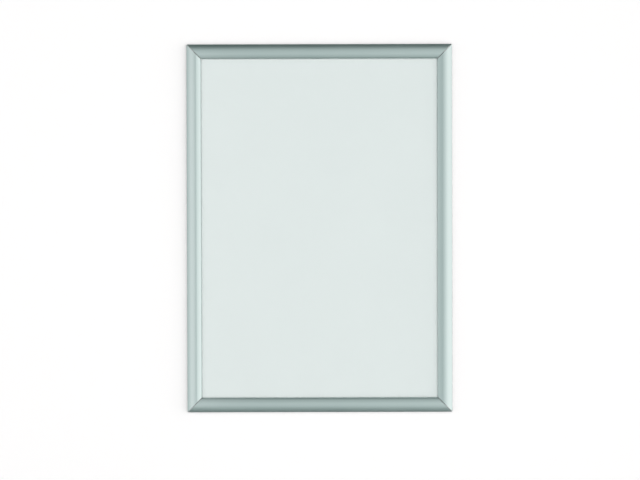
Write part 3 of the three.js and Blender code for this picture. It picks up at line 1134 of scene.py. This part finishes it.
for side, (spot, turn, kind) in sides.items():
    cover, base = rails[side]
    axis = RAIL_AXES[kind]
    cuts = finish_rail(cover, satin[kind], axis) + finish_rail(base, mill[kind], axis)
    for leaf in springs[side]:
        finish_with(leaf, steel[kind])
    print(side, "rails have", cuts, "sawn faces")
for corner_key in keys:
    finish_with(corner_key, zinc)
finish_with(board, white)
finish_with(sheet, clear)

# %% [markdown]
# ## The wall and the floor
# The frame hangs on a white wall that the photograph shows as pure white, with a soft shadow close
# round the frame. So the wall is a pale diffuse sheet that takes the shadow, lifted a little for
# the rays that see it, from the camera, off metal or through something clear. The lift is a little
# warm, because the studio's own light is a little cold there.
#
# The wall is one sheet with a single good side: from behind it isn't there, so the frame's back can
# be looked at. A window in it, hidden behind the frame, lets light reach that back. It is made by an
# inset of the sheet, whose inner face is then scaled to the window's size and deleted.

# %% Paint for the wall and the floor
WALL_COLOUR = tone(0.92, 0.92, 0.92)
FLOOR_COLOUR = tone(0.40, 0.42, 0.42)
LIFT = 0.17
LIFT_COLOUR = tone(1.0, 0.83, 0.84)

backdrop, recipe = new_finish("backdrop_white")
path = recipe.node("ShaderNodeLightPath", {}, {}, "Is Camera Ray")
seen = path + path.beside("Is Glossy Ray") + path.beside("Is Transmission Ray")
paint = recipe.node("ShaderNodeBsdfDiffuse", {}, {"Color": WALL_COLOUR})
lift = recipe.node("ShaderNodeEmission", {}, {"Color": LIFT_COLOUR, "Strength": LIFT * seen})
front = recipe.node("ShaderNodeAddShader", {}, {0: paint, 1: lift})
back = recipe.node("ShaderNodeBsdfTransparent", {}, {})
turned_away = recipe.node("ShaderNodeNewGeometry", {}, {}, "Backfacing")
output(recipe, recipe.node("ShaderNodeMixShader", {}, {0: turned_away, 1: front, 2: back}))
floor_grey, recipe = new_finish("floor_grey")
output(recipe, recipe.node("ShaderNodeBsdfDiffuse", {}, {"Color": FLOOR_COLOUR}))
print("made", backdrop.name, "and", floor_grey.name)

# %% Put up the wall and lay the floor
WALL_GAP = 0.3 * MM
WINDOW_INSET = 2 * MM
WINDOW_BORDER = 0.5
WALL_WIDTH = 10.0
WALL_HEIGHT = 3.0
FLOOR_HEIGHT = -1.5
FLOOR_SIZE = 2.4

bpy.ops.object.select_all(action="DESELECT")
wall_middle = FLOOR_HEIGHT + WALL_HEIGHT / 2
wall_spot = (0, WALL_GAP, wall_middle)
bpy.ops.mesh.primitive_plane_add(size=1, location=wall_spot, rotation=(RIGHT_ANGLE, 0, 0))
wall = bpy.context.object
wall.name = "backdrop_wall"
wall.scale = (WALL_WIDTH, WALL_HEIGHT, 1)
bpy.ops.object.transform_apply(location=False, rotation=False, scale=True)
edit(wall, "FACE")
bpy.ops.mesh.select_all(action="SELECT")
bpy.ops.mesh.inset(thickness=WINDOW_BORDER)
window_width = short_length - 2 * WINDOW_INSET
window_height = long_length - 2 * WINDOW_INSET
window_scale_x = window_width / (WALL_WIDTH - 2 * WINDOW_BORDER)
window_scale_z = window_height / (WALL_HEIGHT - 2 * WINDOW_BORDER)
bpy.ops.transform.resize(value=(window_scale_x, 1, window_scale_z))
bpy.ops.mesh.delete(type="FACE")
done()
bpy.ops.mesh.primitive_plane_add(size=FLOOR_SIZE, location=(0, 0, FLOOR_HEIGHT))
floor = bpy.context.object
floor.name = "backdrop_floor"
finish_with(wall, backdrop)
finish_with(floor, floor_grey)
print("wall faces", [round(c, 2) for c in wall.matrix_world.to_3x3() @ wall.data.polygons[0].normal])
print("window behind the frame in mm:", round(window_width / MM), round(window_height / MM))

# %% [markdown]
# ## Soft studio light
# Satin metal shows what stands in front of it, so the light is laid out by what the rails show. The
# upright rails are brighter on their right-facing halves: a large soft light stands to the right
# and a weaker one to the left. The two lying rails darken towards their outer edges: the studio is
# dim high up and low down. So the light is a gradient from low to high times one from left to right.
# Behind the wall it is plain, for the frame's back. It could be built of many lamps, but a gradient
# over the world's directions holds all of it without noise.

# %% Levels of the studio's light
DIM_RED = 0.76
DIM_BLUE = 0.96
SIDE_RED = 0.86
SIDE_WARMING = 0.12
LOW_TO_HIGH = (
    [(0.00, 0.20), (0.10, 0.05), (0.20, 0.56), (0.30, 0.90), (0.41, 1.09), (0.50, 0.90)]
    + [(0.59, 0.98), (0.70, 0.93), (0.78, 0.34), (0.87, 0.08), (0.94, 0.25), (1.00, 0.45)]
)
LEFT_TO_RIGHT = (
    [(0.00, 0.70), (0.10, 0.84), (0.25, 0.84), (0.38, 0.76), (0.48, 0.75)]
    + [(0.56, 0.88), (0.66, 1.28), (0.77, 1.62), (0.88, 1.38), (1.00, 1.40)]
)


def sky(level):
    """Light of that level, a little greener where it is dim."""
    red = min(1.0, DIM_RED + (1 - DIM_RED) * level)
    return tone(level * red, level, level * (DIM_BLUE + (1 - DIM_BLUE) * level))


def side_light(level):
    """Light from one side of the studio, a little warmer where it is strong."""
    return tone(level * (SIDE_RED + SIDE_WARMING * level), level, level)


def ramp(recipe, way, levels, light):
    """Light that changes along one direction, from levels placed between its two ends."""
    stops = [(place, light(level)) for place, level in levels]
    return recipe.node("ShaderNodeValToRGB", {"stops": stops}, {"Fac": 0.5 * way + 0.5})


print("the studio's light has", len(LOW_TO_HIGH) + len(LEFT_TO_RIGHT), "levels")

# %% World light
BACK_STARTS = -0.05
BACK_FULL = 0.25

world = bpy.data.worlds.new("soft_studio")
bpy.context.scene.world = world
world.use_nodes = True
recipe = Recipe(world.node_tree)
direction = recipe.node("ShaderNodeTexCoord", {}, {}, "Generated")
towards_right = recipe.node("ShaderNodeSeparateXYZ", {}, {"Vector": direction}, "X")
column = ramp(recipe, towards_right.beside("Z"), LOW_TO_HIGH, sky)
row = ramp(recipe, towards_right, LEFT_TO_RIGHT, side_light)
product = {"data_type": "RGBA", "blend_type": "MULTIPLY"}
ahead = recipe.node("ShaderNodeMix", product, {0: 1.0, 6: column, 7: row}, 2)
behind = recipe.node(
    "ShaderNodeMapRange",
    {"interpolation_type": "SMOOTHSTEP"},
    {"Value": towards_right.beside("Y"), "From Min": BACK_STARTS, "From Max": BACK_FULL},
)
light = recipe.blend(behind, ahead, sky(1.0))
glow = recipe.node("ShaderNodeBackground", {}, {"Color": light, "Strength": 1.0})
recipe.node("ShaderNodeOutputWorld", {}, {"Surface": glow})
print("made", world.name)

# %% [markdown]
# ## A front lamp for the flat parts
# The flat board is lit by the whole studio, and the dim bands would leave it too grey. One broad
# lamp from the front brings it to a plain level, at which its white renders as it was mixed.

# %% Front lamp
LAMP_DISTANCE = 4.0
LAMP_SIZE = 3.2
LAMP_POWER = 41.0


def area_lamp(name, spot, turn, width, height, power):
    """An upright lamp that faces the wall, with a turn to one side, unseen by the camera."""
    bpy.ops.object.light_add(type="AREA", location=spot, rotation=(RIGHT_ANGLE, 0, turn))
    lamp = bpy.context.object
    lamp.name = name
    lamp.data.shape = "RECTANGLE"
    lamp.data.size = width
    lamp.data.size_y = height
    lamp.data.energy = power
    lamp.visible_camera = False
    print(name, "gives", power, "W")
    return lamp


lamp = area_lamp("front_lamp", (0, -LAMP_DISTANCE, 0), 0, LAMP_SIZE, LAMP_SIZE, LAMP_POWER)
lamp.visible_glossy = False

# %% [markdown]
# ## A weak light beside the left rail
# The left upright is brighter over its whole width than the studio's dim left side makes it, so a
# weak, slightly warm light stands close in front of it. A change of the world's light would brighten
# the right upright too, because distant light reaches both alike. A lamp this near is seen in the
# left one alone. It shows in metal only, and leaves the board and the wall as the front lamp lights
# them.

# %% Left fill
FILL_SPOT = (-0.408, -0.45, -0.05)
FILL_WIDTH = 0.27
FILL_HEIGHT = 0.95
FILL_POWER = 0.39
FILL_COLOUR = (1.0, 0.84, 0.86)
FILL_TURN = math.radians(-23)

fill = area_lamp("left_fill", FILL_SPOT, FILL_TURN, FILL_WIDTH, FILL_HEIGHT, FILL_POWER)
fill.data.color = FILL_COLOUR
fill.visible_diffuse = False

# %% [markdown]
# ## Plain colour
# The picture is shown without any film curve, so a colour renders about as it was mixed.

# %% Set the colours plain
bpy.context.scene.view_settings.view_transform = "Standard"
